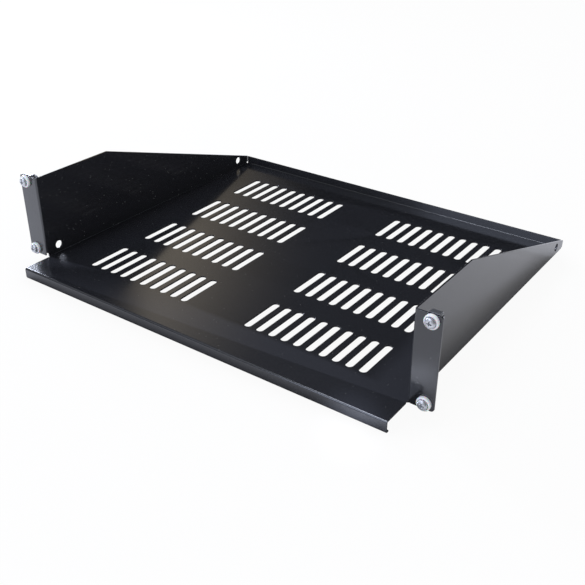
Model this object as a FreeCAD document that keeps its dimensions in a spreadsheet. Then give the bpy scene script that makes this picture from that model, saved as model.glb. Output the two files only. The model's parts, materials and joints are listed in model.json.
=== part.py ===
import FreeCAD, Part
import os

import Sketcher
from FreeCAD import Vector

# A vented cantilever shelf for a 19-inch rack, two units high.  One steel sheet is folded into the
# tray, its side walls, the ears that bolt to the rack posts, a front lip and a rear lip.  Each ear
# carries two screws, each through a cup washer into a cage nut behind the ear.
#
# Millimetres.  +X runs to the right, +Y to the rear, +Z up.  X = 0 is the shelf's middle, Y = 0 the
# rear face of the ears, which lies on the rack posts, and Z = 0 the top of the tray.

SIZES = {
    # Rack standard
    "rack_width": (482.6, "overall width across both ears"),
    "panel_height": (88.1, "height of a two-unit panel"),
    "screw_edge": (8.75, "from the ears' outer edge to the rack screws"),
    "screw_end": (5.95, "from the ears' upper and lower ends to the rack screws"),
    # Folded sheet
    "sheet": (1.5, "sheet thickness"),
    "bend_inside": (0.7, "inside radius of the main bends"),
    "ear_reach": (22.8, "from the side wall's outer face to the ear's outer edge"),
    "tray_depth": (341.8, "from the ears' rear face to the outside of the rear lip"),
    "overhang": (32.0, "from the ears' rear face to the outside of the front lip"),
    "overhang_inset": (2.0, "side edge of the overhang inside the side wall's outer face"),
    "ear_base": (1.0, "bottom edge of the ears above the tray's top"),
    "ear_corner": (3.0, "radius of the ears' outer corners"),
    "level_top": (96.2, "from the ears' rear face to where the wall's top edge starts to fall"),
    "rear_height": (9.0, "height of the rear lip and of the walls' rear end above the tray's top"),
    "rear_lip_gap": (1.0, "between each end of the rear lip and the side wall"),
    "front_lip_drop": (12.0, "from the tray's top to the underside of the front lip"),
    "front_lip_return": (4.0, "depth of the return at the foot of the front lip"),
    "relief_rise": (4.0, "top of the bend reliefs above the tray's top"),
    "relief_margin": (0.3, "bend reliefs reach this far past the end of the bend"),
    "relief_slot": (2.0, "width of the slot that frees the overhang from the side wall's bend"),
    # Vent slots
    "vent_length": (50.0, "overall length of a vent slot"),
    "vent_width": (7.6, "width of a vent slot"),
    "vent_pitch": (13.88, "between neighbouring slots of a row"),
    "vent_count": (10, "slots in each group"),
    "vent_inner": (39.6, "from the shelf's middle to the innermost slots"),
    "vent_row_first": (39.0, "from the ears' rear face to the middle of the first row"),
    "vent_row_pitch": (78.45, "between rows"),
    "vent_rows": (4, "rows of slots"),
    # Holes
    "side_hole": (8.5, "diameter of the holes in the side walls"),
    "side_hole_rise": (8.5, "middle of those holes above the tray's top"),
    "side_hole_front": (15.5, "from the ears' rear face to the front hole"),
    "side_hole_rear": (20.5, "from the outside of the rear lip to the rear hole"),
    "ear_slot_width": (6.5, "height of the level slots in the ears"),
    "ear_slot_length": (10.0, "overall length of those slots"),
    # Rack screw
    "thread": (5.0, "thread diameter"),
    "screw_length": (16.0, "length under the head"),
    "head_width": (9.0, "diameter of the pan head"),
    "head_height": (3.8, "height of the pan head"),
    "head_side": (1.6, "straight part of the pan head's side"),
    "tip_bevel": (0.6, "bevel on the screw's tip"),
    "cross_span": (5.0, "span of the cross recess"),
    "cross_width": (1.1, "width of the cross recess's wings"),
    "cross_depth": (2.2, "depth of the cross recess"),
    # Cup washer
    "cup_width": (13.0, "outside diameter"),
    "cup_height": (3.2, "thickness"),
    "cup_edge": (0.6, "bevel of the front edge"),
    "cup_foot": (0.5, "bevel of the edge on the ear"),
    "cup_seat": (1.0, "depth of the recess that the head sits in"),
    "cup_seat_gap": (0.35, "between the head's side and the recess"),
    "hole_gap": (0.25, "around the screw in washer and cage"),
    # Cage nut
    "nut_width": (10.0, "across the flats of the square nut"),
    "nut_thick": (4.5, "thickness of the square nut"),
    "nut_bevel": (0.6, "bevel of the nut's four corners"),
    "thread_gap": (0.02, "between the thread's crests and the nut"),
    "cage_sheet": (0.7, "thickness of the spring-steel cage"),
    "cage_play": (0.2, "play between the nut and the cage"),
    "cage_band": (9.0, "width of the arms over and under the nut"),
    "cage_lip": (2.6, "lips that keep the nut in the cage"),
    "cage_standoff": (0.8, "from the ear to those lips"),
    "cage_leg": (6.0, "height of the two side legs"),
    "cage_foot": (1.1, "outward reach of the feet at the ends of the legs"),
    "cage_bend": (0.9, "outside radius of the cage's rear bends"),
}

SIDES = {"left": -1, "right": 1}


def make_sheet(doc):
    """The driving dimensions, one to a row, each cell named after its size."""
    sheet = doc.addObject("Spreadsheet::Sheet", "Sizes")
    for row, (name, (value, note)) in enumerate(SIZES.items(), start=1):
        sheet.set(f"A{row}", name)
        sheet.set(f"B{row}", str(value))
        sheet.setAlias(f"B{row}", name)
        sheet.set(f"C{row}", note)
    doc.recompute()
    return sheet


def work_out(expression):
    """The present value of an expression in the sheet's sizes, in millimetres."""
    result = FreeCAD.ActiveDocument.Sizes.evalExpression(expression)
    return float(getattr(result, "Value", result))


def new_body(doc, label):
    body = doc.addObject("PartDesign::Body", label)
    body.Label = label
    return body


def datum(body, role):
    """One of the body's own origin planes or axes."""
    return next(item for item in body.Origin.OriginFeatures if item.Role == role)


def new_sketch(body, name, plane, offset="0"):
    """A sketch on an origin plane, moved along the plane's normal by an expression."""
    sketch = body.newObject("Sketcher::SketchObject", name)
    sketch.AttachmentSupport = (datum(body, plane), [""])
    sketch.MapMode = "FlatFace"
    if offset != "0":
        sketch.setExpression("AttachmentOffset.Base.z", offset)
    return sketch


def place(sketch, geometry, point, across, up):
    """Fixes a point of the sketch at two expressions, measured from the sketch's origin."""
    for kind, expression in (("DistanceX", across), ("DistanceY", up)):
        index = sketch.addConstraint(
            Sketcher.Constraint(kind, -1, 1, geometry, point, work_out(expression))
        )
        sketch.setExpression(f"Constraints[{index}]", expression)


def add_outline(sketch, points):
    """A closed outline of straight lines through points given as pairs of expressions."""
    corners = [Vector(work_out(across), work_out(up), 0) for across, up in points]
    first = sketch.GeometryCount
    count = len(corners)
    for index in range(count):
        sketch.addGeometry(Part.LineSegment(corners[index], corners[(index + 1) % count]), False)
    for index in range(count):
        following = first + (index + 1) % count
        sketch.addConstraint(Sketcher.Constraint("Coincident", first + index, 2, following, 1))
    for index, (across, up) in enumerate(points):
        place(sketch, first + index, 1, across, up)


def add_rectangle(sketch, left, right, bottom, top):
    add_outline(sketch, [(left, bottom), (right, bottom), (right, top), (left, top)])


def add_circle(sketch, across, up, diameter):
    centre = Vector(work_out(across), work_out(up), 0)
    circle = sketch.addGeometry(Part.Circle(centre, Vector(0, 0, 1), work_out(diameter) / 2), False)
    place(sketch, circle, 3, across, up)
    index = sketch.addConstraint(Sketcher.Constraint("Diameter", circle, work_out(diameter)))
    sketch.setExpression(f"Constraints[{index}]", diameter)


def add_slot(sketch, across, up, length, width, upright):
    """A slot with round ends, its middle at (across, up)."""
    radius = work_out(width) / 2
    reach = work_out(length) / 2 - radius
    along, side = (Vector(0, 1, 0), Vector(-1, 0, 0)) if upright else (Vector(1, 0, 0), Vector(0, 1, 0))
    middle = Vector(work_out(across), work_out(up), 0)
    far, near = middle + along * reach, middle - along * reach
    far_arc = Part.Arc(far - side * radius, far + along * radius, far + side * radius)
    near_arc = Part.Arc(near + side * radius, near - along * radius, near - side * radius)
    first = sketch.addGeometry(far_arc, False)
    sketch.addGeometry(Part.LineSegment(far + side * radius, near + side * radius), False)
    sketch.addGeometry(near_arc, False)
    sketch.addGeometry(Part.LineSegment(near - side * radius, far - side * radius), False)
    for index in range(4):
        following = first + (index + 1) % 4
        sketch.addConstraint(Sketcher.Constraint("Tangent", first + index, 2, following, 1))
    sketch.addConstraint(Sketcher.Constraint("Equal", first, first + 2))
    index = sketch.addConstraint(Sketcher.Constraint("Radius", first, radius))
    sketch.setExpression(f"Constraints[{index}]", f"({width}) / 2")
    half_reach = f"(({length}) - ({width})) / 2"
    if upright:
        place(sketch, first, 3, across, f"({up}) + {half_reach}")
        place(sketch, first + 2, 3, across, f"({up}) - {half_reach}")
    else:
        place(sketch, first, 3, f"({across}) + {half_reach}", up)
        place(sketch, first + 2, 3, f"({across}) - {half_reach}", up)


def pad(body, sketch, length, side="One side", reverse=False):
    """Material from a sketch, its length an expression."""
    feature = body.newObject("PartDesign::Pad", f"{sketch.Name}_pad")
    feature.Profile = sketch
    feature.SideType = side
    feature.Reversed = reverse
    feature.setExpression("Length", length)
    FreeCAD.ActiveDocument.recompute()
    return feature


def pocket(body, sketch, length, side="One side", reverse=False):
    """A cut from a sketch; it has to take material away."""
    before = body.Shape.Volume
    feature = body.newObject("PartDesign::Pocket", f"{sketch.Name}_cut")
    feature.Profile = sketch
    feature.SideType = side
    feature.Reversed = reverse
    feature.setExpression("Length", length)
    FreeCAD.ActiveDocument.recompute()
    if body.Shape.Volume > before - 0.001:
        raise RuntimeError(f"{feature.Name} cuts nothing")
    return feature


def mirror(body, features, plane):
    """The same features on the other side of an origin plane."""
    feature = body.newObject("PartDesign::Mirrored", f"{features[0].Name}_mirror")
    feature.Originals = features
    feature.MirrorPlane = (datum(body, plane), [""])
    body.Tip = feature
    FreeCAD.ActiveDocument.recompute()
    return feature


def row_of(body, feature, axis, span, count):
    """One direction of a pattern: the axis, the length that it spans and the number of copies."""
    row = body.newObject("PartDesign::LinearPattern", f"{feature.Name}_{axis[0].lower()}")
    row.Direction = (datum(body, axis), [""])
    row.setExpression("Length", span)
    row.setExpression("Occurrences", count)
    return row


def round_edges(body, name, lines, radius):
    """Rounds every straight edge that lies on one of the lines.

    A line is two of x, y and z, each with its expression: the edge runs along the third axis.
    """
    places = [{axis: work_out(value) for axis, value in line.items()} for line in lines]
    names = []
    for number, edge in enumerate(body.Shape.Edges, start=1):
        ends = [vertex.Point for vertex in edge.Vertexes]
        if any(
            all(abs(getattr(end, axis) - value) < 0.001 for end in ends for axis, value in line.items())
            for line in places
        ):
            names.append(f"Edge{number}")
    if len(names) < len(lines):
        raise RuntimeError(f"{name} finds {len(names)} edges for {len(lines)} lines")
    base = body.Tip
    feature = body.newObject("PartDesign::Fillet", name)
    feature.Base = (base, names)
    feature.setExpression("Radius", radius)
    FreeCAD.ActiveDocument.recompute()
    return feature


HALF_BODY = "(Sizes.rack_width / 2 - Sizes.ear_reach)"
BEND_OUTSIDE = "(Sizes.bend_inside + Sizes.sheet)"
BEND_START = f"{HALF_BODY} - {BEND_OUTSIDE} - Sizes.relief_margin"
EAR_TOP = "(Sizes.ear_base + Sizes.panel_height)"
SCREW_COLUMN = "(Sizes.rack_width / 2 - Sizes.screw_edge)"
SCREW_ROWS = {
    "upper": f"({EAR_TOP} - Sizes.screw_end)",
    "lower": "(Sizes.ear_base + Sizes.screw_end)",
}


def fold_walls_and_ears(body):
    """The tray blank, with a side wall and an ear folded up from each side."""
    overhang_side = f"{HALF_BODY} - Sizes.overhang_inset"
    relief_end = f"{BEND_OUTSIDE} - Sizes.sheet + Sizes.relief_margin"
    right_side = [
        (overhang_side, "-Sizes.overhang"),
        (overhang_side, f"{relief_end} - Sizes.relief_slot"),
        (BEND_START, f"{relief_end} - Sizes.relief_slot"),
        (BEND_START, relief_end),
        (HALF_BODY, relief_end),
        (HALF_BODY, "Sizes.tray_depth"),
    ]
    left_side = [(f"-({across})", back) for across, back in reversed(right_side)]
    tray = new_sketch(body, "tray", "XY_Plane")
    add_outline(tray, right_side + left_side)
    pad(body, tray, "Sizes.sheet", reverse=True)

    wall = new_sketch(body, "side_wall", "YZ_Plane", f"{HALF_BODY} - Sizes.sheet")
    add_outline(wall, [
        ("-Sizes.sheet", "-Sizes.sheet"),
        ("Sizes.tray_depth", "-Sizes.sheet"),
        ("Sizes.tray_depth", "Sizes.rear_height"),
        ("Sizes.level_top", EAR_TOP),
        ("-Sizes.sheet", EAR_TOP),
    ])
    wall_pad = pad(body, wall, "Sizes.sheet")

    ear = new_sketch(body, "ear", "XZ_Plane")
    add_rectangle(ear, f"{HALF_BODY} - Sizes.sheet", "Sizes.rack_width / 2", "Sizes.ear_base", EAR_TOP)
    ear_pad = pad(body, ear, "Sizes.sheet")

    # Under the ear the wall is cut back to the end of its bend, clear of the overhang's side edge.
    relief = new_sketch(body, "front_relief", "YZ_Plane", overhang_side)
    add_rectangle(relief, "-2 * Sizes.sheet", relief_end, "-2 * Sizes.sheet", "Sizes.relief_rise")
    relief_cut = pocket(body, relief, f"Sizes.overhang_inset + {relief_end}", reverse=True)
    mirror(body, [wall_pad, ear_pad, relief_cut], "YZ_Plane")


def fold_lips(body):
    """The front lip with its return, and the rear lip between the walls."""
    front = new_sketch(body, "front_lip", "YZ_Plane")
    add_outline(front, [
        ("-Sizes.overhang", "0"),
        ("-Sizes.overhang", "-Sizes.front_lip_drop"),
        ("-Sizes.overhang + Sizes.front_lip_return", "-Sizes.front_lip_drop"),
        ("-Sizes.overhang + Sizes.front_lip_return", "-Sizes.front_lip_drop + Sizes.sheet"),
        ("-Sizes.overhang + Sizes.sheet", "-Sizes.front_lip_drop + Sizes.sheet"),
        ("-Sizes.overhang + Sizes.sheet", "0"),
    ])
    pad(body, front, f"2 * ({HALF_BODY} - Sizes.overhang_inset)", side="Symmetric")

    rear = new_sketch(body, "rear_lip", "YZ_Plane")
    lip_inside = "Sizes.tray_depth - Sizes.sheet"
    add_rectangle(rear, lip_inside, "Sizes.tray_depth", "-Sizes.sheet", "Sizes.rear_height")
    pad(body, rear, f"2 * ({HALF_BODY} - Sizes.sheet - Sizes.rear_lip_gap)", side="Symmetric")

    # A small relief where the bends of the wall and the rear lip would meet.
    corner = new_sketch(body, "rear_relief", "XY_Plane", "-2 * Sizes.sheet")
    rear_bend_start = f"Sizes.tray_depth - {BEND_OUTSIDE} - Sizes.relief_margin"
    add_rectangle(corner, BEND_START, HALF_BODY, rear_bend_start, "Sizes.tray_depth")
    corner_cut = pocket(
        body, corner, f"Sizes.sheet + {BEND_OUTSIDE} + Sizes.relief_margin", reverse=True
    )
    mirror(body, [corner_cut], "YZ_Plane")


def round_bends(body):
    """True bends: each fold rounded inside, and outside by one sheet more."""
    left, right = f"-({HALF_BODY})", HALF_BODY
    left_inside, right_inside = f"-({HALF_BODY} - Sizes.sheet)", f"{HALF_BODY} - Sizes.sheet"
    lip_front, lip_inside = "-Sizes.overhang", "-Sizes.overhang + Sizes.sheet"
    lip_foot, foot_inside = "-Sizes.front_lip_drop", "-Sizes.front_lip_drop + Sizes.sheet"
    rear, rear_inside = "Sizes.tray_depth", "Sizes.tray_depth - Sizes.sheet"
    outside = [
        {"x": left, "z": "-Sizes.sheet"},
        {"x": right, "z": "-Sizes.sheet"},
        {"x": left_inside, "y": "-Sizes.sheet"},
        {"x": right_inside, "y": "-Sizes.sheet"},
        {"y": lip_front, "z": "0"},
        {"y": lip_front, "z": lip_foot},
        {"y": rear, "z": "-Sizes.sheet"},
    ]
    inside = [
        {"x": left_inside, "z": "0"},
        {"x": right_inside, "z": "0"},
        {"x": left, "y": "0"},
        {"x": right, "y": "0"},
        {"y": lip_inside, "z": "-Sizes.sheet"},
        {"y": lip_inside, "z": foot_inside},
        {"y": rear_inside, "z": "0"},
    ]
    round_edges(body, "bends_inside", inside, "Sizes.bend_inside")
    round_edges(body, "bends_outside", outside, BEND_OUTSIDE)
    ear_ends = ["-Sizes.rack_width / 2", "Sizes.rack_width / 2"]
    corners = [{"x": end, "z": level} for end in ear_ends for level in ("Sizes.ear_base", EAR_TOP)]
    round_edges(body, "ear_corners", corners, "Sizes.ear_corner")


def cut_vents(body):
    """The field of vent slots: a row of slots, repeated to the rear and mirrored to the left."""
    vent = new_sketch(body, "vent", "XY_Plane")
    first_slot = ("Sizes.vent_inner", "Sizes.vent_row_first")
    add_slot(vent, *first_slot, "Sizes.vent_length", "Sizes.vent_width", upright=True)
    vent_cut = pocket(body, vent, "Sizes.sheet")
    field = body.newObject("PartDesign::MultiTransform", "vent_field")
    field.Originals = [vent_cut]
    group_width = "Sizes.vent_pitch * (Sizes.vent_count - 1)"
    field_depth = "Sizes.vent_row_pitch * (Sizes.vent_rows - 1)"
    across = row_of(body, vent_cut, "X_Axis", group_width, "Sizes.vent_count")
    back = row_of(body, vent_cut, "Y_Axis", field_depth, "Sizes.vent_rows")
    twin = body.newObject("PartDesign::Mirrored", "vent_twin")
    twin.MirrorPlane = (datum(body, "YZ_Plane"), [""])
    field.Transformations = [across, back, twin]
    body.Tip = field
    FreeCAD.ActiveDocument.recompute()


def cut_holes(body):
    """The screw slots in the ears and the holes low in the side walls."""
    slots = new_sketch(body, "ear_slots", "XZ_Plane")
    for side in SIDES.values():
        for level in SCREW_ROWS.values():
            across = f"{side} * {SCREW_COLUMN}"
            add_slot(slots, across, level, "Sizes.ear_slot_length", "Sizes.ear_slot_width", upright=False)
    pocket(body, slots, "Sizes.sheet", reverse=True)

    holes = new_sketch(body, "side_holes", "YZ_Plane")
    rear_hole = "Sizes.tray_depth - Sizes.side_hole_rear"
    add_circle(holes, "Sizes.side_hole_front", "Sizes.side_hole_rise", "Sizes.side_hole")
    add_circle(holes, rear_hole, "Sizes.side_hole_rise", "Sizes.side_hole")
    pocket(body, holes, f"2 * {HALF_BODY} + Sizes.sheet", side="Symmetric")


def make_shelf(doc):
    body = new_body(doc, "shelf_body")
    fold_walls_and_ears(body)
    fold_lips(body)
    round_bends(body)
    cut_vents(body)
    cut_holes(body)
    return body


def revolve(body, sketch):
    """A round solid from its half profile, turned about the body's Y axis."""
    feature = body.newObject("PartDesign::Revolution", f"{sketch.Name}_turned")
    feature.Profile = sketch
    feature.ReferenceAxis = (datum(body, "Y_Axis"), [""])
    feature.Angle = 360
    FreeCAD.ActiveDocument.recompute()
    return feature


def round_rim(body, name, level, diameter, radius):
    """Rounds the circular edge of a given diameter at one level of the Y axis."""
    here, reach = work_out(level), work_out(diameter) / 2
    names = [
        f"Edge{number}"
        for number, edge in enumerate(body.Shape.Edges, start=1)
        if isinstance(edge.Curve, Part.Circle)
        and abs(edge.Curve.Radius - reach) < 0.001
        and abs(edge.Curve.Center.y - here) < 0.001
    ]
    if not names:
        raise RuntimeError(f"{name} finds no rim")
    base = body.Tip
    feature = body.newObject("PartDesign::Fillet", name)
    feature.Base = (base, names)
    feature.setExpression("Radius", radius)
    FreeCAD.ActiveDocument.recompute()
    return feature


# Each fastener is drawn on its own Y axis, with Y = 0 on the ear's rear face.
CUP_FRONT = "(-Sizes.sheet - Sizes.cup_height)"
SEAT = f"({CUP_FRONT} + Sizes.cup_seat)"
HEAD_FRONT = f"({SEAT} - Sizes.head_height)"
SCREW_HOLE = "(Sizes.thread + 2 * Sizes.hole_gap)"
NUT_FRONT = "(Sizes.cage_standoff + Sizes.cage_sheet)"
CAGE_INSIDE = f"({NUT_FRONT} + Sizes.nut_thick + Sizes.cage_play)"
CAGE_BACK = f"({CAGE_INSIDE} + Sizes.cage_sheet)"
CAGE_HALF_INSIDE = "(Sizes.nut_width / 2 + Sizes.cage_play)"
CAGE_HALF = f"({CAGE_HALF_INSIDE} + Sizes.cage_sheet)"


def make_screw(doc, label):
    """A pan-head rack screw with a cross recess; its thread is left plain."""
    body = new_body(doc, label)
    tip = f"({SEAT} + Sizes.screw_length)"
    profile = new_sketch(body, "screw_profile", "YZ_Plane")
    add_outline(profile, [
        (HEAD_FRONT, "0"),
        (tip, "0"),
        (tip, "Sizes.thread / 2 - Sizes.tip_bevel"),
        (f"{tip} - Sizes.tip_bevel", "Sizes.thread / 2"),
        (SEAT, "Sizes.thread / 2"),
        (SEAT, "Sizes.head_width / 2"),
        (HEAD_FRONT, "Sizes.head_width / 2"),
    ])
    revolve(body, profile)
    round_rim(body, "pan", HEAD_FRONT, "Sizes.head_width", "Sizes.head_height - Sizes.head_side")

    half, wing = "Sizes.cross_span / 2", "Sizes.cross_width / 2"
    cross = new_sketch(body, "cross", "XZ_Plane", f"-{HEAD_FRONT}")
    add_outline(cross, [
        (wing, wing), (wing, half), (f"-{wing}", half), (f"-{wing}", wing),
        (f"-{half}", wing), (f"-{half}", f"-{wing}"), (f"-{wing}", f"-{wing}"), (f"-{wing}", f"-{half}"),
        (wing, f"-{half}"), (wing, f"-{wing}"), (half, f"-{wing}"), (half, wing),
    ])
    pocket(body, cross, "Sizes.cross_depth")
    return body


def make_cup_washer(doc, label):
    """A moulded cup washer, recessed for the screw's head."""
    body = new_body(doc, label)
    edge, seat_wall = "Sizes.cup_width / 2", "Sizes.head_width / 2 + Sizes.cup_seat_gap"
    profile = new_sketch(body, "cup_profile", "YZ_Plane")
    add_outline(profile, [
        ("-Sizes.sheet", f"{SCREW_HOLE} / 2"),
        ("-Sizes.sheet", f"{edge} - Sizes.cup_foot"),
        ("-Sizes.sheet - Sizes.cup_foot", edge),
        (f"{CUP_FRONT} + Sizes.cup_edge", edge),
        (CUP_FRONT, f"{edge} - Sizes.cup_edge"),
        (CUP_FRONT, seat_wall),
        (SEAT, seat_wall),
        (SEAT, f"{SCREW_HOLE} / 2"),
    ])
    revolve(body, profile)
    return body


def make_square_nut(doc, label):
    """The square nut that floats in the cage, drawn up to the cage's lips."""
    body = new_body(doc, label)
    flat, corner = "Sizes.nut_width / 2", "(Sizes.nut_width / 2 - Sizes.nut_bevel)"
    face = new_sketch(body, "nut_face", "XZ_Plane", f"-{NUT_FRONT}")
    add_outline(face, [
        (flat, f"-{corner}"), (flat, corner), (corner, flat), (f"-{corner}", flat),
        (f"-{flat}", corner), (f"-{flat}", f"-{corner}"), (f"-{corner}", f"-{flat}"), (corner, f"-{flat}"),
    ])
    add_circle(face, "0", "0", "Sizes.thread + 2 * Sizes.thread_gap")
    pad(body, face, "Sizes.nut_thick", reverse=True)
    return body


def make_nut_cage(doc, label):
    """The spring-steel cage: arms over and under the nut, lips in front of it, legs beside it."""
    body = new_body(doc, label)
    lip_end = f"({CAGE_HALF} - Sizes.cage_lip)"
    upper_arm = [
        (NUT_FRONT, lip_end),
        ("Sizes.cage_standoff", lip_end),
        ("Sizes.cage_standoff", CAGE_HALF),
        (CAGE_BACK, CAGE_HALF),
    ]
    upper_inside = [(CAGE_INSIDE, CAGE_HALF_INSIDE), (NUT_FRONT, CAGE_HALF_INSIDE)]
    lower_arm = [(back, f"-{up}") for back, up in reversed(upper_arm)]
    lower_inside = [(back, f"-{up}") for back, up in reversed(upper_inside)]
    arms = new_sketch(body, "cage_arms", "YZ_Plane")
    add_outline(arms, upper_arm + lower_arm + lower_inside + upper_inside)
    pad(body, arms, "Sizes.cage_band", side="Symmetric")

    foot_end = f"({CAGE_HALF} + Sizes.cage_foot)"
    right_leg = [
        (CAGE_HALF_INSIDE, CAGE_INSIDE),
        (CAGE_HALF_INSIDE, "0"),
        (foot_end, "0"),
        (foot_end, "Sizes.cage_sheet"),
        (CAGE_HALF, "Sizes.cage_sheet"),
        (CAGE_HALF, CAGE_BACK),
    ]
    left_leg = [(f"-{across}", back) for across, back in reversed(right_leg)]
    legs = new_sketch(body, "cage_legs", "XY_Plane")
    add_outline(legs, right_leg + left_leg)
    pad(body, legs, "Sizes.cage_leg", side="Symmetric")

    rear_edges = [
        {axis: f"{side}{CAGE_HALF}", "y": CAGE_BACK} for axis in ("x", "z") for side in ("", "-")
    ]
    round_edges(body, "cage_bends", rear_edges, "Sizes.cage_bend")
    hole = new_sketch(body, "cage_hole", "XZ_Plane")
    add_circle(hole, "0", "0", SCREW_HOLE)
    pocket(body, hole, f"2 * {CAGE_BACK} + Sizes.cage_sheet", side="Symmetric")
    return body


FASTENERS = {
    "screw": make_screw,
    "cup_washer": make_cup_washer,
    "square_nut": make_square_nut,
    "nut_cage": make_nut_cage,
}


def make_fasteners(doc):
    """One set of fasteners at each corner of the rack's screw pattern."""
    bodies = []
    for row, level in SCREW_ROWS.items():
        for side, sign in SIDES.items():
            for piece, make in FASTENERS.items():
                body = make(doc, f"{piece}_{row}_{side}")
                body.setExpression("Placement.Base.x", f"{sign} * {SCREW_COLUMN}")
                body.setExpression("Placement.Base.z", level)
                bodies.append(body)
    return bodies


def export(doc, bodies):
    """Checks every object, then writes each sub-part to its own file."""
    failed = [item.Name for item in doc.Objects if {"Invalid", "Error"} & set(item.State)]
    if failed:
        raise RuntimeError(f"failed objects: {failed}")
    os.makedirs("parts", exist_ok=True)
    for body in bodies:
        shape = body.Shape
        if shape.isNull() or not shape.isValid():
            raise RuntimeError(f"{body.Label} has no valid shape")
        shape.exportStep(f"parts/{body.Label}.step")
        print(f"{body.Label}: {len(shape.Solids)} solid, {shape.Volume:.1f} mm3")


def main():
    doc = FreeCAD.newDocument("cantilever_rack_shelf")
    make_sheet(doc)
    bodies = [make_shelf(doc)] + make_fasteners(doc)
    doc.recompute()
    export(doc, bodies)


main()
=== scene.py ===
"""Looks of a vented cantilever shelf for a 19-inch rack.

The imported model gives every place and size.  This script dresses it: the folded sheet gets eased
edges and a stoved gloss enamel, the four sets of rack fasteners get threads, driven recesses and
plated or moulded finishes, and a plain studio stands round it.  Lengths in the classes are in
millimetres and meshes are in metres.  +X runs to the right, +Y to the rear and +Z up.
"""

from __future__ import annotations

import json
import logging
import math
from dataclasses import dataclass
from enum import Enum
from typing import Any

import bmesh
import bpy
from mathutils import Matrix, Vector

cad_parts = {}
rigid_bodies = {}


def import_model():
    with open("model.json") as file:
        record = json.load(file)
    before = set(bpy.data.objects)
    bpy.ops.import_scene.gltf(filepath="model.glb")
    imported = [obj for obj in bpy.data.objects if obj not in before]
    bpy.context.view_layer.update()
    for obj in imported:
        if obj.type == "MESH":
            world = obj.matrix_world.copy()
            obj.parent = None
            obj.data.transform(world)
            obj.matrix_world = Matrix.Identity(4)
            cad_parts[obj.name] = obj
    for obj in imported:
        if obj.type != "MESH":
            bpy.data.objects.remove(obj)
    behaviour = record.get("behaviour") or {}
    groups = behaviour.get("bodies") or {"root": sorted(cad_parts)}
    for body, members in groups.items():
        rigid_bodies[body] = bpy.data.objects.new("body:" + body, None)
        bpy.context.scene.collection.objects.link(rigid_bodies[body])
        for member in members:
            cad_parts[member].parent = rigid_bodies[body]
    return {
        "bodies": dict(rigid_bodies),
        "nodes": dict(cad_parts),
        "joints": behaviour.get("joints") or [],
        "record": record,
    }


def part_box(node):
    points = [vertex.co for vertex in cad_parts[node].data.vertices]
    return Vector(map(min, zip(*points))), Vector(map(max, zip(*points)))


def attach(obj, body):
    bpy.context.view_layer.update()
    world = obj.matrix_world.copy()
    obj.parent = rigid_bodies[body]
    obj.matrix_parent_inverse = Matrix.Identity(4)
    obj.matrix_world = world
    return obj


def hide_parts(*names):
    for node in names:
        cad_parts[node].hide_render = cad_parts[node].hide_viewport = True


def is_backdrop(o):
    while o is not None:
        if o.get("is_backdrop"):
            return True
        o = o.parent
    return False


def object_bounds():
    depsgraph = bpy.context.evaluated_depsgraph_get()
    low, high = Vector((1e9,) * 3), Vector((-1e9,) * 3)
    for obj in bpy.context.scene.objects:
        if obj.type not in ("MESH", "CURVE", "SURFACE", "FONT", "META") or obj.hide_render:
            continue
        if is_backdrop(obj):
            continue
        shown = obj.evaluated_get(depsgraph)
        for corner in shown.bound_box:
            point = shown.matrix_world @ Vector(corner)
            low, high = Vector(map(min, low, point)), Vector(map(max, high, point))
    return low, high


LOG = logging.getLogger("rack_shelf")
MM = 0.001
BODY = "root"
MIX_SHARE, MIX_FROM, MIX_TO, MIX_OUT = 0, 6, 7, 2  # the sockets of a Mix node that blends colours
WHITE = "#ffffff"
COOL = "#e6edff"
CAD_WELD = 0.002  # corners of a CAD mesh nearer than this become one, in millimetres
WELD = 0.0005  # the same for the meshes made here
FLAT_ANGLE = 0.4  # faces that meet at less are one flat, in degrees
SHARP_ANGLE = 40.0  # edges that turn by more are eased, in degrees


class Slot(Enum):
    """The material slots of the part's record."""

    PAINT = "black_paint"
    SCREW = "screw_zinc"
    WASHER = "washer_plastic"
    NUT = "nut_zinc"
    CAGE = "cage_spring_steel"


def linear(code: str) -> tuple[float, float, float, float]:
    """Turns an sRGB colour into the linear one that a shader takes.

    Args:
        code: The colour as "#rrggbb".

    Returns:
        Red, green, blue and an alpha of 1.
    """
    values = [int(code[start:start + 2], 16) / 255 for start in (1, 3, 5)]
    red, green, blue = (v / 12.92 if v <= 0.04045 else ((v + 0.055) / 1.055) ** 2.4 for v in values)
    return red, green, blue, 1.0


def add_node(
    tree: bpy.types.NodeTree,
    kind: str,
    inputs: dict[str | int, Any] | None = None,
    **settings: Any,
) -> bpy.types.Node:
    """Adds one node to a tree.

    Args:
        tree: The node tree that the node goes into.
        kind: The node's type name in Blender.
        inputs: What each input gets, by name or number: an output socket is linked, and
            anything else is set as its value.
        **settings: The node's own properties.

    Returns:
        The new node.
    """
    node = tree.nodes.new(kind)
    for name, value in settings.items():
        setattr(node, name, value)
    for key, value in (inputs or {}).items():
        if isinstance(value, bpy.types.NodeSocket):
            tree.links.new(value, node.inputs[key])
        else:
            node.inputs[key].default_value = value
    return node


def new_material(name: str) -> tuple[bpy.types.Material, bpy.types.NodeTree]:
    """Makes a material with an empty node tree.

    Args:
        name: The material's name.

    Returns:
        The material and its tree.
    """
    material = bpy.data.materials.new(name)
    material.use_nodes = True
    material.node_tree.nodes.clear()
    return material, material.node_tree


def per_metre(size_mm: float) -> float:
    """The scale of a pattern in object coordinates whose feature has this size in millimetres."""
    return 1 / (size_mm * MM)


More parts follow.
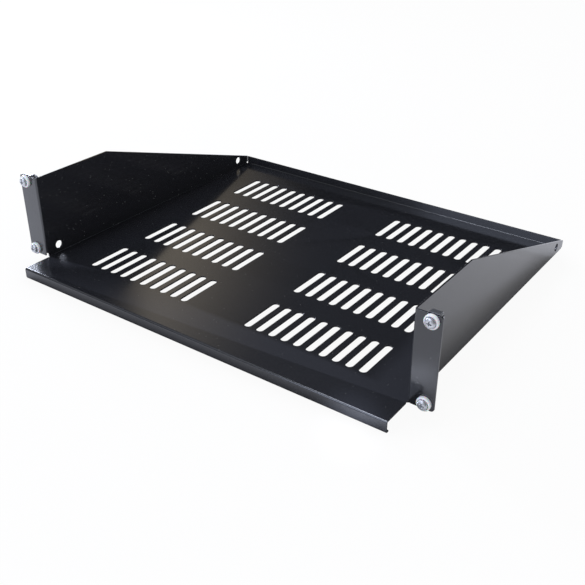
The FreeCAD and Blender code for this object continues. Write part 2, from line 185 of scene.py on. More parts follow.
@dataclass(frozen=True)
class StovedEnamel:
    """Black gloss enamel, sprayed on folded steel and stoved.

    To the eye it is a deep black that mirrors what stands round it, a little blurred, through a
    fine orange peel.  The coat thins on the edges and a few specks of dust lie on it.
    """

    name: str = "black gloss enamel, sprayed and stoved"
    colour: str = "#191a1d"
    faded: str = "#1f2023"
    thin: str = "#4a4c54"
    dust: str = "#8a8984"
    ior: float = 1.5
    gloss: tuple[float, float] = (0.18, 0.24)
    coat_roughness: float = 0.10
    cloud_mm: float = 90.0
    peel_mm: float = 2.2
    peel_depth_mm: float = 0.03
    peel_strength: float = 0.3
    # Real specks are finer than 0.2 mm; these are up to 0.5 mm so that they show at all.
    dust_mm: float = 4.5
    dust_edge: tuple[float, float] = (0.06, 0.11)
    dust_share: float = 0.28
    dust_veil: float = 0.5
    edge_bend: tuple[float, float] = (0.52, 0.60)
    edge_wear: float = 0.35

    def make(self) -> bpy.types.Material:
        """Builds the material."""
        material, tree = new_material(self.name)
        place = add_node(tree, "ShaderNodeTexCoord").outputs["Object"]
        cloud = add_node(tree, "ShaderNodeTexNoise", {
            "Vector": place, "Scale": per_metre(self.cloud_mm), "Detail": 4.0, "Roughness": 0.6,
        })
        black = add_node(tree, "ShaderNodeMix", {
            MIX_SHARE: cloud.outputs["Fac"],
            MIX_FROM: linear(self.colour), MIX_TO: linear(self.faded),
        }, data_type="RGBA")
        roughness = add_node(tree, "ShaderNodeMapRange", {
            "Value": cloud.outputs["Fac"], "From Min": 0.3, "From Max": 0.7,
            "To Min": self.gloss[0], "To Max": self.gloss[1],
        })
        peel = add_node(tree, "ShaderNodeTexNoise", {
            "Vector": place, "Scale": per_metre(self.peel_mm), "Detail": 2.0,
        })
        bump = add_node(tree, "ShaderNodeBump", {
            "Height": peel.outputs["Fac"], "Strength": self.peel_strength,
            "Distance": self.peel_depth_mm * MM,
        })
        dusty = self.add_dust(tree, place, black.outputs[MIX_OUT])
        worn = self.add_edge_wear(tree, dusty)
        shader = add_node(tree, "ShaderNodeBsdfPrincipled", {
            "Base Color": worn, "Roughness": roughness.outputs["Result"],
            "IOR": self.ior, "Normal": bump.outputs["Normal"],
            "Coat Weight": 1.0, "Coat Roughness": self.coat_roughness,
        })
        add_node(tree, "ShaderNodeOutputMaterial", {"Surface": shader.outputs["BSDF"]})
        return material

    def add_dust(
        self, tree: bpy.types.NodeTree, place: bpy.types.NodeSocket, colour: bpy.types.NodeSocket
    ) -> bpy.types.NodeSocket:
        """Lays sparse specks of dust over the colour.

        Args:
            tree: The material's tree.
            place: The coordinates.
            colour: The colour below the dust.

        Returns:
            The dusty colour.
        """
        cell = add_node(tree, "ShaderNodeTexVoronoi", {
            "Vector": place, "Scale": per_metre(self.dust_mm), "Randomness": 1.0,
        })
        speck = add_node(tree, "ShaderNodeMapRange", {
            "Value": cell.outputs["Distance"],
            "From Min": self.dust_edge[0], "From Max": self.dust_edge[1],
            "To Min": 1.0, "To Max": 0.0,
        })
        draw = add_node(tree, "ShaderNodeSeparateXYZ", {"Vector": cell.outputs["Color"]})
        chosen = add_node(tree, "ShaderNodeMath", {
            0: draw.outputs["X"], 1: 1 - self.dust_share,
        }, operation="GREATER_THAN")
        dust = add_node(tree, "ShaderNodeMath", {
            0: speck.outputs["Result"], 1: chosen.outputs["Value"],
        }, operation="MULTIPLY")
        veil = add_node(tree, "ShaderNodeMath", {
            0: dust.outputs["Value"], 1: self.dust_veil,
        }, operation="MULTIPLY")
        dusty = add_node(tree, "ShaderNodeMix", {
            MIX_SHARE: veil.outputs["Value"], MIX_FROM: colour, MIX_TO: linear(self.dust),
        }, data_type="RGBA")
        return dusty.outputs[MIX_OUT]

    def add_edge_wear(
        self, tree: bpy.types.NodeTree, colour: bpy.types.NodeSocket
    ) -> bpy.types.NodeSocket:
        """Lets the coat thin to a paler tone along the outer edges.

        Args:
            tree: The material's tree.
            colour: The colour of the full coat.

        Returns:
            The colour with its thin edges.
        """
        shape = add_node(tree, "ShaderNodeNewGeometry")
        edge = add_node(tree, "ShaderNodeMapRange", {
            "Value": shape.outputs["Pointiness"],
            "From Min": self.edge_bend[0], "From Max": self.edge_bend[1],
            "To Min": 0.0, "To Max": self.edge_wear,
        })
        worn = add_node(tree, "ShaderNodeMix", {
            MIX_SHARE: edge.outputs["Result"], MIX_FROM: colour, MIX_TO: linear(self.thin),
        }, data_type="RGBA")
        return worn.outputs[MIX_OUT]


@dataclass(frozen=True)
class ZincPlate:
    """Steel formed to shape and zinc plated.

    To the eye it is a pale silver with a faint blue cast and a soft, satin shine.
    """

    name: str
    colour: str = "#dddfe2"
    roughness: float = 0.46
    # The plating's grain is finer than 0.05 mm; it is drawn coarser so that it shows.
    grain_mm: float = 0.35
    grain_depth_mm: float = 0.02
    grain_strength: float = 0.2

    def make(self) -> bpy.types.Material:
        """Builds the material."""
        material, tree = new_material(self.name)
        place = add_node(tree, "ShaderNodeTexCoord").outputs["Object"]
        grain = add_node(tree, "ShaderNodeTexNoise", {
            "Vector": place, "Scale": per_metre(self.grain_mm), "Detail": 3.0,
        })
        roughness = add_node(tree, "ShaderNodeMapRange", {
            "Value": grain.outputs["Fac"], "From Min": 0.3, "From Max": 0.7,
            "To Min": self.roughness - 0.06, "To Max": self.roughness + 0.08,
        })
        bump = add_node(tree, "ShaderNodeBump", {
            "Height": grain.outputs["Fac"], "Strength": self.grain_strength,
            "Distance": self.grain_depth_mm * MM,
        })
        shader = add_node(tree, "ShaderNodeBsdfPrincipled", {
            "Base Color": linear(self.colour), "Metallic": 1.0,
            "Roughness": roughness.outputs["Result"], "Normal": bump.outputs["Normal"],
        })
        add_node(tree, "ShaderNodeOutputMaterial", {"Surface": shader.outputs["BSDF"]})
        return material


@dataclass(frozen=True)
class MouldedNylon:
    """Natural nylon, injection moulded.

    To the eye it is milky white and a little translucent, with a soft gloss and faint sink marks.
    """

    name: str = "natural nylon, injection moulded"
    colour: str = "#edeeef"
    roughness: float = 0.22
    ior: float = 1.53
    sink_mm: float = 1.6
    sink_depth_mm: float = 0.05
    sink_strength: float = 0.2
    glow: float = 0.3
    glow_depth_mm: float = 1.0

    def make(self) -> bpy.types.Material:
        """Builds the material."""
        material, tree = new_material(self.name)
        place = add_node(tree, "ShaderNodeTexCoord").outputs["Object"]
        sink = add_node(tree, "ShaderNodeTexNoise", {
            "Vector": place, "Scale": per_metre(self.sink_mm), "Detail": 3.0,
        })
        bump = add_node(tree, "ShaderNodeBump", {
            "Height": sink.outputs["Fac"], "Strength": self.sink_strength,
            "Distance": self.sink_depth_mm * MM,
        })
        shader = add_node(tree, "ShaderNodeBsdfPrincipled", {
            "Base Color": linear(self.colour), "Roughness": self.roughness,
            "IOR": self.ior, "Normal": bump.outputs["Normal"],
            "Subsurface Weight": self.glow, "Subsurface Scale": self.glow_depth_mm * MM,
        })
        add_node(tree, "ShaderNodeOutputMaterial", {"Surface": shader.outputs["BSDF"]})
        return material


def link_piece(
    name: str, mesh: bpy.types.Mesh, material: bpy.types.Material, stands_for: str
) -> bpy.types.Object:
    """Puts a finished mesh in the scene in the place of a CAD node.

    Args:
        name: The piece's name.
        mesh: Its mesh, in metres and in place.
        material: Its finish.
        stands_for: The CAD node that it replaces.

    Returns:
        The new object.
    """
    piece = bpy.data.objects.new(name, mesh)
    bpy.context.scene.collection.objects.link(piece)
    mesh.materials.clear()
    mesh.materials.append(material)
    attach(piece, BODY)
    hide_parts(stands_for)
    LOG.info("%s: %d faces", name, len(mesh.polygons))
    return piece


def sharp_edges(work: bmesh.types.BMesh, angle: float) -> list[bmesh.types.BMEdge]:
    """Finds the edges that turn sharply.

    Args:
        work: The mesh in the making.
        angle: The least turn between the two faces, in degrees.

    Returns:
        The edges.
    """
    return [
        edge for edge in work.edges
        if edge.is_manifold and edge.calc_face_angle() > math.radians(angle)
    ]


def eased_mesh(source: bpy.types.Object, name: str, ease_mm: float, steps: int) -> bpy.types.Mesh:
    """Copies a node's solid as a clean mesh whose sharp edges are eased.

    Args:
        source: The CAD node.
        name: The new mesh's name.
        ease_mm: How far each sharp edge is taken back.
        steps: Faces across each eased edge.

    Returns:
        The new mesh, shaded smooth all over.
    """
    work = bmesh.new()
    work.from_mesh(source.data)
    bmesh.ops.remove_doubles(work, verts=work.verts, dist=CAD_WELD * MM)
    bmesh.ops.dissolve_limit(
        work, angle_limit=math.radians(FLAT_ANGLE), verts=work.verts, edges=work.edges,
        delimit=set(),
    )
    sharp = sharp_edges(work, SHARP_ANGLE)
    bmesh.ops.bevel(
        work, geom=sharp, offset=ease_mm * MM, offset_type="OFFSET", segments=steps,
        profile=0.5, affect="EDGES", clamp_overlap=False, loop_slide=True,
    )
    for face in work.faces:
        face.smooth = True
    mesh = bpy.data.meshes.new(name)
    work.to_mesh(mesh)
    work.free()
    return mesh


def keep_flats(piece: bpy.types.Object) -> None:
    """Gives a piece weighted normals, so that its flats stay flat and its edges turn smoothly.

    Args:
        piece: The object; the modifier is applied to its mesh.
    """
    modifier = piece.modifiers.new("flats", "WEIGHTED_NORMAL")
    modifier.weight = 100
    graph = bpy.context.evaluated_depsgraph_get()
    mesh = bpy.data.meshes.new_from_object(piece.evaluated_get(graph))
    piece.modifiers.remove(modifier)
    piece.data = mesh


@dataclass
class FoldedShelf:
    """The folded sheet: tray, side walls, ears and lips in one piece."""

    node: str = "shelf_body"
    edge_ease: float = 0.22
    edge_steps: int = 2

    def build(self, frame: dict[str, Any], paint: bpy.types.Material) -> bpy.types.Object:
        """Builds the painted shelf.

        Args:
            paint: The enamel.

        Returns:
            The sheet.
        """
        source = frame["nodes"][self.node]
        mesh = eased_mesh(source, "folded_shelf", self.edge_ease, self.edge_steps)
        piece = link_piece("folded_shelf", mesh, paint, self.node)
        keep_flats(piece)
        return piece


def lathe(
    work: bmesh.types.BMesh, middle: Vector, profile: list[tuple[float, float]], steps: int,
    flutes: int = 0, flute_mm: float = 0.0,
) -> None:
    """Turns a closed profile round an axis that runs from front to rear.

    Args:
        work: The mesh that the faces go into.
        middle: A point on the axis, in metres; only its X and Z count.
        profile: Radius and Y of each corner in millimetres, all round the section.
        steps: Faces round the axis.
        flutes: Shallow flutes round the outside.
        flute_mm: Their depth, growing towards the profile's widest radius.
    """
    widest = max(radius for radius, _ in profile)
    rings = []
    for radius, along in profile:
        ring = []
        for step in range(steps):
            angle = math.tau * step / steps
            cut = flute_mm * (radius / widest) ** 8 * (0.5 - 0.5 * math.cos(flutes * angle))
            reach = (radius - cut) * MM
            ring.append(work.verts.new((
                middle.x + reach * math.cos(angle), along * MM, middle.z + reach * math.sin(angle),
            )))
        rings.append(ring)
    for ring, following in zip(rings, rings[1:] + rings[:1]):
        for step in range(steps):
            after = (step + 1) % steps
            work.faces.new((ring[step], ring[after], following[after], following[step]))


def arc(
    middle: tuple[float, float], radius: float, start: float, end: float, steps: int
) -> list[tuple[float, float]]:
    """Points on an arc of a profile.

    Args:
        middle: Radius and Y of the arc's middle, in millimetres.
        radius: The arc's radius, in millimetres.
        start: The first point's angle in degrees, from outwards towards the rear.
        end: The last point's angle in degrees.
        steps: How many runs the arc has.

    Returns:
        The points, both ends included.
    """
    angles = [math.radians(start + (end - start) * step / steps) for step in range(steps + 1)]
    return [(middle[0] + radius * math.cos(a), middle[1] + radius * math.sin(a)) for a in angles]


def finished_mesh(work: bmesh.types.BMesh, name: str) -> bpy.types.Mesh:
    """Closes a mesh up: welded corners, outward faces, smooth shading.

    Args:
        work: The mesh in the making, which is freed.
        name: The new mesh's name.

    Returns:
        The mesh.
    """
    bmesh.ops.remove_doubles(work, verts=work.verts, dist=WELD * MM)
    bmesh.ops.recalc_face_normals(work, faces=work.faces)
    for face in work.faces:
        face.smooth = True
    mesh = bpy.data.meshes.new(name)
    work.to_mesh(mesh)
    work.free()
    return mesh


@dataclass
class PanHeadScrew:
    """A pan-head rack screw: domed head, tapered cross recess and a rolled thread."""

    head_radius: float = 4.5
    thread_radius: float = 2.5
    seat_depth: float = 1.0
    side: float = 1.6
    crown: float = 0.16
    dome_share: float = 0.55
    dome_drop: float = 0.3
    rim_start: float = -84.0
    rim_steps: int = 9
    foot_ease: float = 0.12
    head_steps: int = 72
    cross_span: float = 5.0
    cross_width: float = 1.15
    cross_depth: float = 2.3
    cross_taper: float = 0.42
    cross_lead: float = 0.5
    cross_mouth: float = 1.08
    wing_keep: float = 0.6
    edge_angle: float = 50.0
    edge_ease: float = 0.09
    thread_pitch: float = 0.8
    thread_depth: float = 0.45
    thread_crest: float = 0.12
    thread_flank: float = 0.63
    thread_rows: int = 10
    thread_steps: int = 36
    root_overlap: float = 0.4
    tip_ease: float = 0.75

    def head(self, middle: Vector, radius: float, front: float, seat: float) -> bpy.types.Mesh:
        """The domed head with its recess.

        Args:
            middle: A point on the screw's axis, in metres.
            radius: The head's radius, in millimetres.
            front: Y of the head's front, in millimetres.
            seat: Y of its underside, in millimetres.

        Returns:
            The head's mesh.
        """
        bend = seat - self.side - front
        flat = radius - bend
        shoulder = front + self.crown
        profile = [(0.0, front), (flat * self.dome_share, front + self.crown * self.dome_drop)]
        profile += [(flat, shoulder)]
        profile += arc((flat, shoulder + bend), bend, self.rim_start, 0, self.rim_steps)[:-1]
        profile += [(radius, seat - self.side + self.crown), (radius, seat - self.foot_ease)]
        profile += [(radius - self.foot_ease, seat), (0.0, seat)]
        work = bmesh.new()
        lathe(work, middle, profile, self.head_steps)
        solid = bpy.data.objects.new("head", finished_mesh(work, "head"))
        tool = bpy.data.objects.new("recess", self.recess(middle, front))
        for item in (solid, tool):
            bpy.context.scene.collection.objects.link(item)
        cut = solid.modifiers.new("recess", "BOOLEAN")
        cut.object, cut.operation, cut.solver = tool, "DIFFERENCE", "EXACT"
        graph = bpy.context.evaluated_depsgraph_get()
        mesh = bpy.data.meshes.new_from_object(solid.evaluated_get(graph))
        for item in (solid, tool):
            bpy.data.objects.remove(item)
        return mesh

    def recess(self, middle: Vector, front: float) -> bpy.types.Mesh:
        """The tapered cross that is driven into the head.

        Args:
            middle: A point on the screw's axis, in metres.
            front: Y of the head's front, in millimetres.

        Returns:
            The cross as a closed mesh.
        """
        work = bmesh.new()
        rings = []
        mouth = (front - self.cross_lead, self.cross_mouth)
        bottom = (front + self.cross_depth, self.cross_taper)
        for along, share in (mouth, bottom):
            span = self.cross_span / 2 * share
            wing = self.cross_width / 2 * (self.wing_keep + (1 - self.wing_keep) * share)
            corners = [
                (wing, wing), (wing, span), (-wing, span), (-wing, wing),
                (-span, wing), (-span, -wing), (-wing, -wing), (-wing, -span),
                (wing, -span), (wing, -wing), (span, -wing), (span, wing),
            ]
            rings.append([
                work.verts.new((middle.x + across * MM, along * MM, middle.z + up * MM))
                for across, up in corners
            ])
        for ring in rings:
            work.faces.new(ring)
        for step in range(len(corners)):
            after = (step + 1) % len(corners)
            work.faces.new((rings[0][step], rings[0][after], rings[1][after], rings[1][step]))
        return finished_mesh(work, "recess")

    def shank(
        self, work: bmesh.types.BMesh, middle: Vector, radius: float, seat: float, tip: float
    ) -> None:
        """The threaded shank, from inside the head to the bevelled tip.

        Args:
            work: The mesh that the faces go into.
            middle: A point on the screw's axis, in metres.
            radius: The thread's outer radius, in millimetres.
            seat: Y of the head's underside, in millimetres.
            tip: Y of the tip, in millimetres.
        """
        start = seat - self.root_overlap
        rows = round((tip - start) / self.thread_pitch * self.thread_rows)
        rings = []
        for row in range(rows + 1):
            along = start + (tip - start) * row / rows
            ring = []
            for step in range(self.thread_steps):
                turn = step / self.thread_steps
                phase = (along / self.thread_pitch - turn) % 1.0
                flank = (abs(2 * phase - 1) - self.thread_crest) / self.thread_flank
                valley = min(1.0, max(0.0, flank))
                reach = radius - self.thread_depth * valley
                reach = min(reach, radius - self.tip_ease + tip - along)
                ring.append(work.verts.new((
                    middle.x + reach * MM * math.cos(math.tau * turn), along * MM,
                    middle.z + reach * MM * math.sin(math.tau * turn),
                )))
            rings.append(ring)
        for ring, following in zip(rings, rings[1:]):
            for step in range(self.thread_steps):
                after = (step + 1) % self.thread_steps
                work.faces.new((ring[step], ring[after], following[after], following[step]))
        work.faces.new(rings[0])
        work.faces.new(rings[-1])

    def build(self, corner: str, zinc: bpy.types.Material) -> bpy.types.Object:
        """Builds the screw of one corner.

        Args:
            corner: Which of the four corners, as in the nodes' names.
            zinc: The plating.

        Returns:
            The screw.
        """
        node = f"screw_{corner}"
        low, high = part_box(node)
        nut_low, nut_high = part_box(f"square_nut_{corner}")
        middle = (nut_low + nut_high) / 2
        washer_low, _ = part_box(f"cup_washer_{corner}")
        front, tip, seat = low.y / MM, high.y / MM, washer_low.y / MM + self.seat_depth
        head = self.head(middle, self.head_radius, front, seat)
        work = bmesh.new()
        work.from_mesh(head)
        bmesh.ops.bevel(
            work, geom=sharp_edges(work, self.edge_angle), offset=self.edge_ease * MM,
            offset_type="OFFSET", segments=2,
            profile=0.5, affect="EDGES", clamp_overlap=True,
        )
        self.shank(work, middle, self.thread_radius, seat, tip)
        mesh = finished_mesh(work, node)
        piece = link_piece(f"pan_head_screw_{corner}", mesh, zinc, node)
        keep_flats(piece)
        return piece

@dataclass
class CupWasher:
    """A moulded cup washer with a rounded rim and shallow grip flutes."""

    bore: float = 2.75
    seat_depth: float = 1.0
    seat_radius: float = 4.85
    seat_ease: float = 0.15
    rim: float = 0.32
    rim_steps: int = 5
    shoulder: float = 1.3
    shoulder_steps: int = 8
    foot: float = 0.3
    foot_steps: int = 4
    flutes: int = 20
    flute: float = 0.12
    steps: int = 120

    def build(self, corner: str, nylon: bpy.types.Material) -> bpy.types.Object:
        """Builds the washer of one corner.

        Args:
            corner: Which of the four corners, as in the nodes' names.
            nylon: The moulded plastic.

        Returns:
            The washer.
        """
        node = f"cup_washer_{corner}"
        low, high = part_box(node)
        middle = (low + high) / 2
        front, back, edge = low.y / MM, high.y / MM, (high.x - low.x) / 2 / MM
        seat = front + self.seat_depth
        ease, rim, round_edge, foot = self.seat_ease, self.rim, self.shoulder, self.foot
        profile = [(self.bore, back), (self.bore, seat + ease), (self.bore + ease, seat)]
        profile += [(self.seat_radius - ease, seat), (self.seat_radius, seat - ease)]
        profile += arc((self.seat_radius + rim, front + rim), rim, 180, 270, self.rim_steps)
        profile += arc(
            (edge - round_edge, front + round_edge), round_edge, -90, 0, self.shoulder_steps
        )
        profile += arc((edge - foot, back - foot), foot, 0, 90, self.foot_steps)
        work = bmesh.new()
        lathe(work, middle, profile, self.steps, self.flutes, self.flute)
        mesh = finished_mesh(work, node)
        return link_piece(f"nylon_washer_{corner}", mesh, nylon, node)


@dataclass
class CageNut:
    """A square nut that floats in a spring cage."""

    nut_ease: float = 0.3
    cage_ease: float = 0.16
    ease_steps: int = 3

    def build(
        self, frame: dict[str, Any], corner: str, zinc: bpy.types.Material,
        spring: bpy.types.Material,
    ) -> list[bpy.types.Object]:
        """Builds the nut and the cage of one corner.

        Args:
            corner: Which of the four corners, as in the nodes' names.
            zinc: The nut's plating.
            spring: The cage's finish.

        Returns:
            The nut and the cage.
        """
        pieces = []
        for node, ease, finish, slot in (
            (f"square_nut_{corner}", self.nut_ease, zinc, Slot.NUT),
            (f"nut_cage_{corner}", self.cage_ease, spring, Slot.CAGE),
        ):
            mesh = eased_mesh(frame["nodes"][node], node, ease, self.ease_steps)
            piece = link_piece(f"eased_{node}", mesh, finish, node)
            keep_flats(piece)
            pieces.append(piece)
        return pieces


@dataclass(frozen=True)
class Softbox:
    """A soft rectangular lamp; lengths in metres."""

    name: str
    place: tuple[float, float, float]
    aim: tuple[float, float, float]
    size: tuple[float, float]
    watts: float
    colour: str

    def add(self) -> None:
        """Adds the lamp."""
        data = bpy.data.lights.new(self.name, "AREA")
        data.shape = "RECTANGLE"
        data.size, data.size_y = self.size
        place_lamp(data, self.place, self.aim, self.watts, self.colour)


@dataclass(frozen=True)
class Spot:
    """A narrow lamp with a soft edge; lengths in metres, the cone in degrees."""

    name: str
    place: tuple[float, float, float]
    aim: tuple[float, float, float]
    cone: float
    watts: float
    colour: str
    edge: float = 0.7
    radius: float = 0.02

    def add(self) -> None:
        """Adds the lamp."""
        data = bpy.data.lights.new(self.name, "SPOT")
        data.spot_size = math.radians(self.cone)
        data.spot_blend = self.edge
        data.shadow_soft_size = self.radius
        place_lamp(data, self.place, self.aim, self.watts, self.colour)


def place_lamp(
    data: bpy.types.Light, place: tuple[float, float, float], aim: tuple[float, float, float],
    watts: float, colour: str,
) -> None:
    """Puts a lamp in the scene, facing a point.

    Args:
        data: The lamp's data.
        place: Where it stands, in metres.
        aim: The point that it faces.
        watts: Its power.
        colour: Its colour, as sRGB hex.
    """
    data.energy = watts
    data.color = linear(colour)[:3]
    lamp = bpy.data.objects.new(data.name, data)
    bpy.context.scene.collection.objects.link(lamp)
    lamp.location = place
    lamp.visible_camera = False
    lamp.rotation_mode = "QUATERNION"
    lamp.rotation_quaternion = (Vector(aim) - Vector(place)).to_track_quat("-Z", "Y")


@dataclass(frozen=True)
class Room:
    """The surroundings: white to the eye, even soft light, and a dim room in the gloss.

    The black enamel shows what it mirrors.  It stands in a dark room with a warm opening at the
    rear left, whose right edge is sharp, and a paler front that the plated screws pick up.
    Directions are unit vectors: height is their Z, and bearing the level part, made a unit long.
    """

    ambient: str = "#dcdcde"
    opening_left: str = "#cbbfac"
    opening_right: str = "#6a6968"
    left_low: str = "#060607"
    left_high: str = "#303033"
    right_wall: str = "#0c0c0e"
    front_low: str = "#505154"
    front_high: str = "#b9bbbf"
    rear_axis: tuple[float, float, float] = (-0.087, 0.996, 0.0)
    tilt_heights: tuple[float, float] = (0.485, 0.60)
    tilt: float = 0.055
    fade: tuple[float, float] = (0.875, 0.771)
    fade_power: float = 1.7
    jamb: tuple[float, float] = (0.7225, 0.745)
    lintel: tuple[float, float] = (0.60, 0.85)
    rise_heights: tuple[float, float] = (0.35, 0.60)
    sides: tuple[float, float] = (-0.2, 0.2)
    front: tuple[float, float] = (0.1, -0.35)

    def add(self) -> None:
        """Makes the world."""
        world = bpy.data.worlds.new("studio")
        world.use_nodes = True
        bpy.context.scene.world = world
        tree = world.node_tree
        tree.nodes.clear()
        direction = add_node(tree, "ShaderNodeTexCoord").outputs["Generated"]
        level = add_node(tree, "ShaderNodeVectorMath", {
            0: direction, 1: (1.0, 1.0, 0.0),
        }, operation="MULTIPLY")
        bearing = add_node(tree, "ShaderNodeVectorMath", {
            0: level.outputs["Vector"],
        }, operation="NORMALIZE").outputs["Vector"]
        height = add_node(tree, "ShaderNodeSeparateXYZ", {"Vector": direction}).outputs["Z"]
        side = add_node(tree, "ShaderNodeSeparateXYZ", {"Vector": bearing})
        right = self.add_ramp(tree, side.outputs["X"], self.sides)
        lit = self.add_opening(tree, bearing, height)
        walls = self.add_walls(tree, height, right, side.outputs["Y"])
        opening = self.add_blend(
            tree, right, linear(self.opening_left), linear(self.opening_right)
        )
        tone = self.add_blend(tree, lit, walls, opening)
        rays = add_node(tree, "ShaderNodeLightPath").outputs
        even = self.add_blend(tree, rays["Is Diffuse Ray"], tone, linear(self.ambient))
        seen = self.add_blend(tree, rays["Is Camera Ray"], even, linear(WHITE))
        back = add_node(tree, "ShaderNodeBackground", {"Color": seen, "Strength": 1.0})
        add_node(tree, "ShaderNodeOutputWorld", {"Surface": back.outputs["Background"]})

    def add_ramp(
        self, tree: bpy.types.NodeTree, value: bpy.types.NodeSocket,
        limits: tuple[float, float], ends: tuple[float, float] = (0.0, 1.0),
        shape: str = "LINEAR",
    ) -> bpy.types.NodeSocket:
        """Turns a value between two limits into one between two ends.

        Args:
            tree: The world's tree.
            value: The value.
            limits: Where it starts and stops to count.
            ends: What comes out there.
            shape: The kind of the ramp.

        Returns:
            The new value.
        """
        node = add_node(tree, "ShaderNodeMapRange", {
            "Value": value, "From Min": limits[0], "From Max": limits[1],
            "To Min": ends[0], "To Max": ends[1],
        }, interpolation_type=shape)
        return node.outputs["Result"]

    def add_blend(
        self, tree: bpy.types.NodeTree, share: bpy.types.NodeSocket, first: Any, second: Any
    ) -> bpy.types.NodeSocket:
        """Blends from one colour to another.

        Args:
            tree: The world's tree.
            share: How much of the second shows.
            first: A colour or a socket.
            second: A colour or a socket.

        Returns:
            The blend.
        """
        node = add_node(tree, "ShaderNodeMix", {
            MIX_SHARE: share, MIX_FROM: first, MIX_TO: second,
        }, data_type="RGBA")
        return node.outputs[MIX_OUT]

    def add_opening(
        self, tree: bpy.types.NodeTree, bearing: bpy.types.NodeSocket,
        height: bpy.types.NodeSocket,
    ) -> bpy.types.NodeSocket:
        """How much of the warm opening shows in a direction.

        Args:
            tree: The world's tree.
            bearing: The level part of the direction.
            height: The direction's Z.

        Returns:
            A share from 0 to 1.
        """
        rear = add_node(tree, "ShaderNodeVectorMath", {
            0: bearing, 1: self.rear_axis,
        }, operation="DOT_PRODUCT").outputs["Value"]
        tilt = self.add_ramp(tree, height, self.tilt_heights, (0.0, self.tilt))
        turn = add_node(tree, "ShaderNodeMath", {0: rear, 1: tilt}, operation="ADD")
        fade = self.add_ramp(tree, turn.outputs["Value"], self.fade)
        soft = add_node(tree, "ShaderNodeMath", {0: fade, 1: self.fade_power}, operation="POWER")
        jamb = self.add_ramp(tree, rear, self.jamb)
        wide = add_node(tree, "ShaderNodeMath", {
            0: soft.outputs["Value"], 1: jamb,
        }, operation="MULTIPLY")
        lintel = self.add_ramp(tree, height, self.lintel, (1.0, 0.0), "SMOOTHSTEP")
        lit = add_node(tree, "ShaderNodeMath", {
            0: wide.outputs["Value"], 1: lintel,
        }, operation="MULTIPLY")
        return lit.outputs["Value"]

    def add_walls(
        self, tree: bpy.types.NodeTree, height: bpy.types.NodeSocket,
        right: bpy.types.NodeSocket, across: bpy.types.NodeSocket,
    ) -> bpy.types.NodeSocket:
        """The tone of the dim walls in a direction.

        Args:
            tree: The world's tree.
            height: The direction's Z.
            right: 0 at the left and 1 at the right.
            across: The bearing's Y.

        Returns:
            The tone.
        """
        rise = self.add_ramp(tree, height, self.rise_heights)
        left = self.add_blend(tree, rise, linear(self.left_low), linear(self.left_high))
        rear = self.add_blend(tree, right, left, linear(self.right_wall))
        near = self.add_blend(tree, rise, linear(self.front_low), linear(self.front_high))
        return self.add_blend(tree, self.add_ramp(tree, across, self.front), rear, near)


@dataclass(frozen=True)
class PaperFloor:
    """A sweep of matt white paper: white to the eye, with the object's soft shadow on it and
    painted shade close round it.
    """

    name: str = "white paper sweep, matt"
    colour: str = "#dedee0"
    reach: float = 6.0
    corners: int = 96
    camera_share: float = 0.95
    mirror_share: float = 0.03
    # Painted shade: the paper's colour is darkened by ambient occlusion where the steel stands
    # close, deeper than one soft lamp shades it.
    painted_shade_reach: float = 0.032
    painted_shade_depth: float = 3.0

    def add(self, level: float) -> None:
        """Adds the floor and marks it as the stage.

        Args:
            level: Its height, in metres.
        """
        work = bmesh.new()
        bmesh.ops.create_circle(work, cap_ends=True, segments=self.corners, radius=self.reach)
        mesh = bpy.data.meshes.new("studio_floor")
        work.to_mesh(mesh)
        work.free()
        floor = bpy.data.objects.new("studio_floor", mesh)
        floor.location.z = level
        bpy.context.scene.collection.objects.link(floor)
        mesh.materials.append(self.make())
        floor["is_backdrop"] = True

    def make(self) -> bpy.types.Material:
        """Builds the paper, with the white that the eye sees mixed in."""
        material, tree = new_material(self.name)
        rays = add_node(tree, "ShaderNodeLightPath").outputs
        # Painted shade: ambient occlusion darkens the paper's colour near the steel.
        near = add_node(tree, "ShaderNodeAmbientOcclusion", {"Distance": self.painted_shade_reach})
        shade = add_node(tree, "ShaderNodeMath", {
            0: near.outputs["AO"], 1: self.painted_shade_depth,
        }, operation="POWER")
        sheet = add_node(tree, "ShaderNodeMix", {
            MIX_SHARE: shade.outputs["Value"],
            MIX_FROM: linear("#000000"), MIX_TO: linear(self.colour),
        }, data_type="RGBA")
        paper = add_node(tree, "ShaderNodeBsdfDiffuse", {"Color": sheet.outputs[MIX_OUT]})
        white = add_node(tree, "ShaderNodeEmission", {"Color": linear(WHITE), "Strength": 1.0})
        mirrored = add_node(tree, "ShaderNodeMath", {
            0: rays["Is Glossy Ray"], 1: rays["Is Transmission Ray"],
        }, operation="MAXIMUM")
        part = add_node(tree, "ShaderNodeMath", {
            0: mirrored.outputs["Value"], 1: self.mirror_share,
        }, operation="MULTIPLY")
        share = add_node(tree, "ShaderNodeMath", {
            0: rays["Is Camera Ray"], 1: self.camera_share, 2: part.outputs["Value"],
        }, operation="MULTIPLY_ADD")
        surface = add_node(tree, "ShaderNodeMixShader", {
            0: share.outputs["Value"], 1: paper.outputs["BSDF"], 2: white.outputs["Emission"],
        })
        add_node(tree, "ShaderNodeOutputMaterial", {"Surface": surface.outputs["Shader"]})
        return material


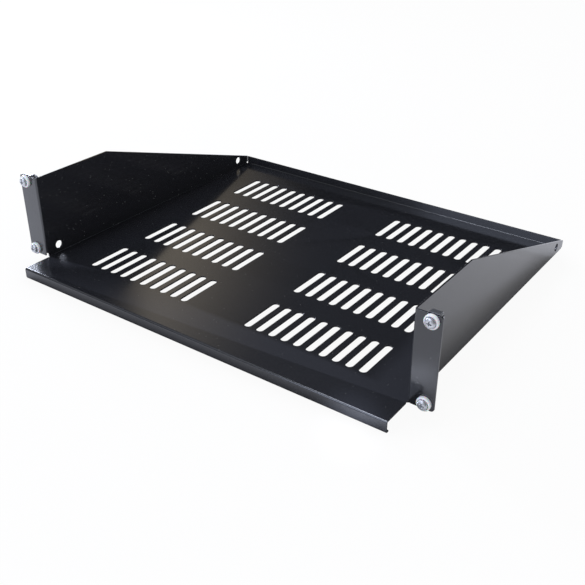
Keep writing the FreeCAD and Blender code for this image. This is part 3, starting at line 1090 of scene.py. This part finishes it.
@dataclass(frozen=True)
class Studio:
    """A plain pale floor, soft light and the camera."""

    lamps: tuple[Softbox | Spot, ...] = (
        Softbox("left_softbox", (-1.5, 0.62, 0.62), (0.0, 0.0, 0.0), (0.32, 0.6), 20.0, COOL),
        Softbox("front_softbox", (-0.45, -1.55, 1.0), (0.0, 0.0, 0.0), (0.8, 1.1), 8.0, "#dae4ff"),
        Softbox("top_softbox", (-0.38, -0.27, 1.47), (0.2, -0.03, 0.0), (0.8, 0.22), 5.5, COOL),
        Spot("corner_spot", (0.45, -0.42, 0.35), (0.187, -0.040, -0.012), 4.0, 60.0, COOL),
    )
    camera_place: tuple[float, float, float] = (0.4623, -0.5013, 0.4173)
    camera_direction: tuple[float, float, float] = (-0.50569, 0.70479, -0.49755)
    camera_roll: float = 0.133
    focal_length: float = 52.24
    sensor: float = 36.0
    clipping: tuple[float, float] = (0.01, 50.0)

    def add_camera(self) -> None:
        """Adds the camera and makes it the scene's."""
        data = bpy.data.cameras.new("camera")
        data.lens = self.focal_length
        data.sensor_width = self.sensor
        data.clip_start, data.clip_end = self.clipping
        camera = bpy.data.objects.new("camera", data)
        bpy.context.scene.collection.objects.link(camera)
        turn = Vector(self.camera_direction).to_track_quat("-Z", "Y").to_matrix().to_4x4()
        roll = Matrix.Rotation(math.radians(self.camera_roll), 4, "Z")
        camera.matrix_world = Matrix.Translation(self.camera_place) @ turn @ roll
        bpy.context.scene.camera = camera

    def build(self, floor_level: float) -> None:
        """Sets up the floor, the surroundings, the lamps and the camera.

        Args:
            floor_level: The height of the floor, in metres.
        """
        PaperFloor().add(floor_level)
        Room().add()
        for lamp in self.lamps:
            lamp.add()
        self.add_camera()
        LOG.info("studio: %d lamps", len(self.lamps))


def main() -> None:
    """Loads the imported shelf, dresses it and sets up the studio."""
    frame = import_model()
    bpy.context.scene.view_settings.view_transform = "Standard"
    cad_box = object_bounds()
    paint = StovedEnamel().make()
    FoldedShelf().build(frame, paint)
    zinc = ZincPlate("zinc plate, bright, on cold-headed steel").make()
    spring = ZincPlate(
        "zinc plate, satin, on spring steel", colour="#c0c2c5", roughness=0.46, grain_mm=0.6
    ).make()
    nylon = MouldedNylon().make()
    for corner in ("upper_left", "upper_right", "lower_left", "lower_right"):
        PanHeadScrew().build(corner, zinc)
        CupWasher().build(corner, nylon)
        CageNut().build(frame, corner, zinc, spring)
    Studio().build(cad_box[0].z)


if __name__ == "__main__":
    logging.basicConfig(level=logging.INFO, format="%(name)s: %(message)s")
    main()
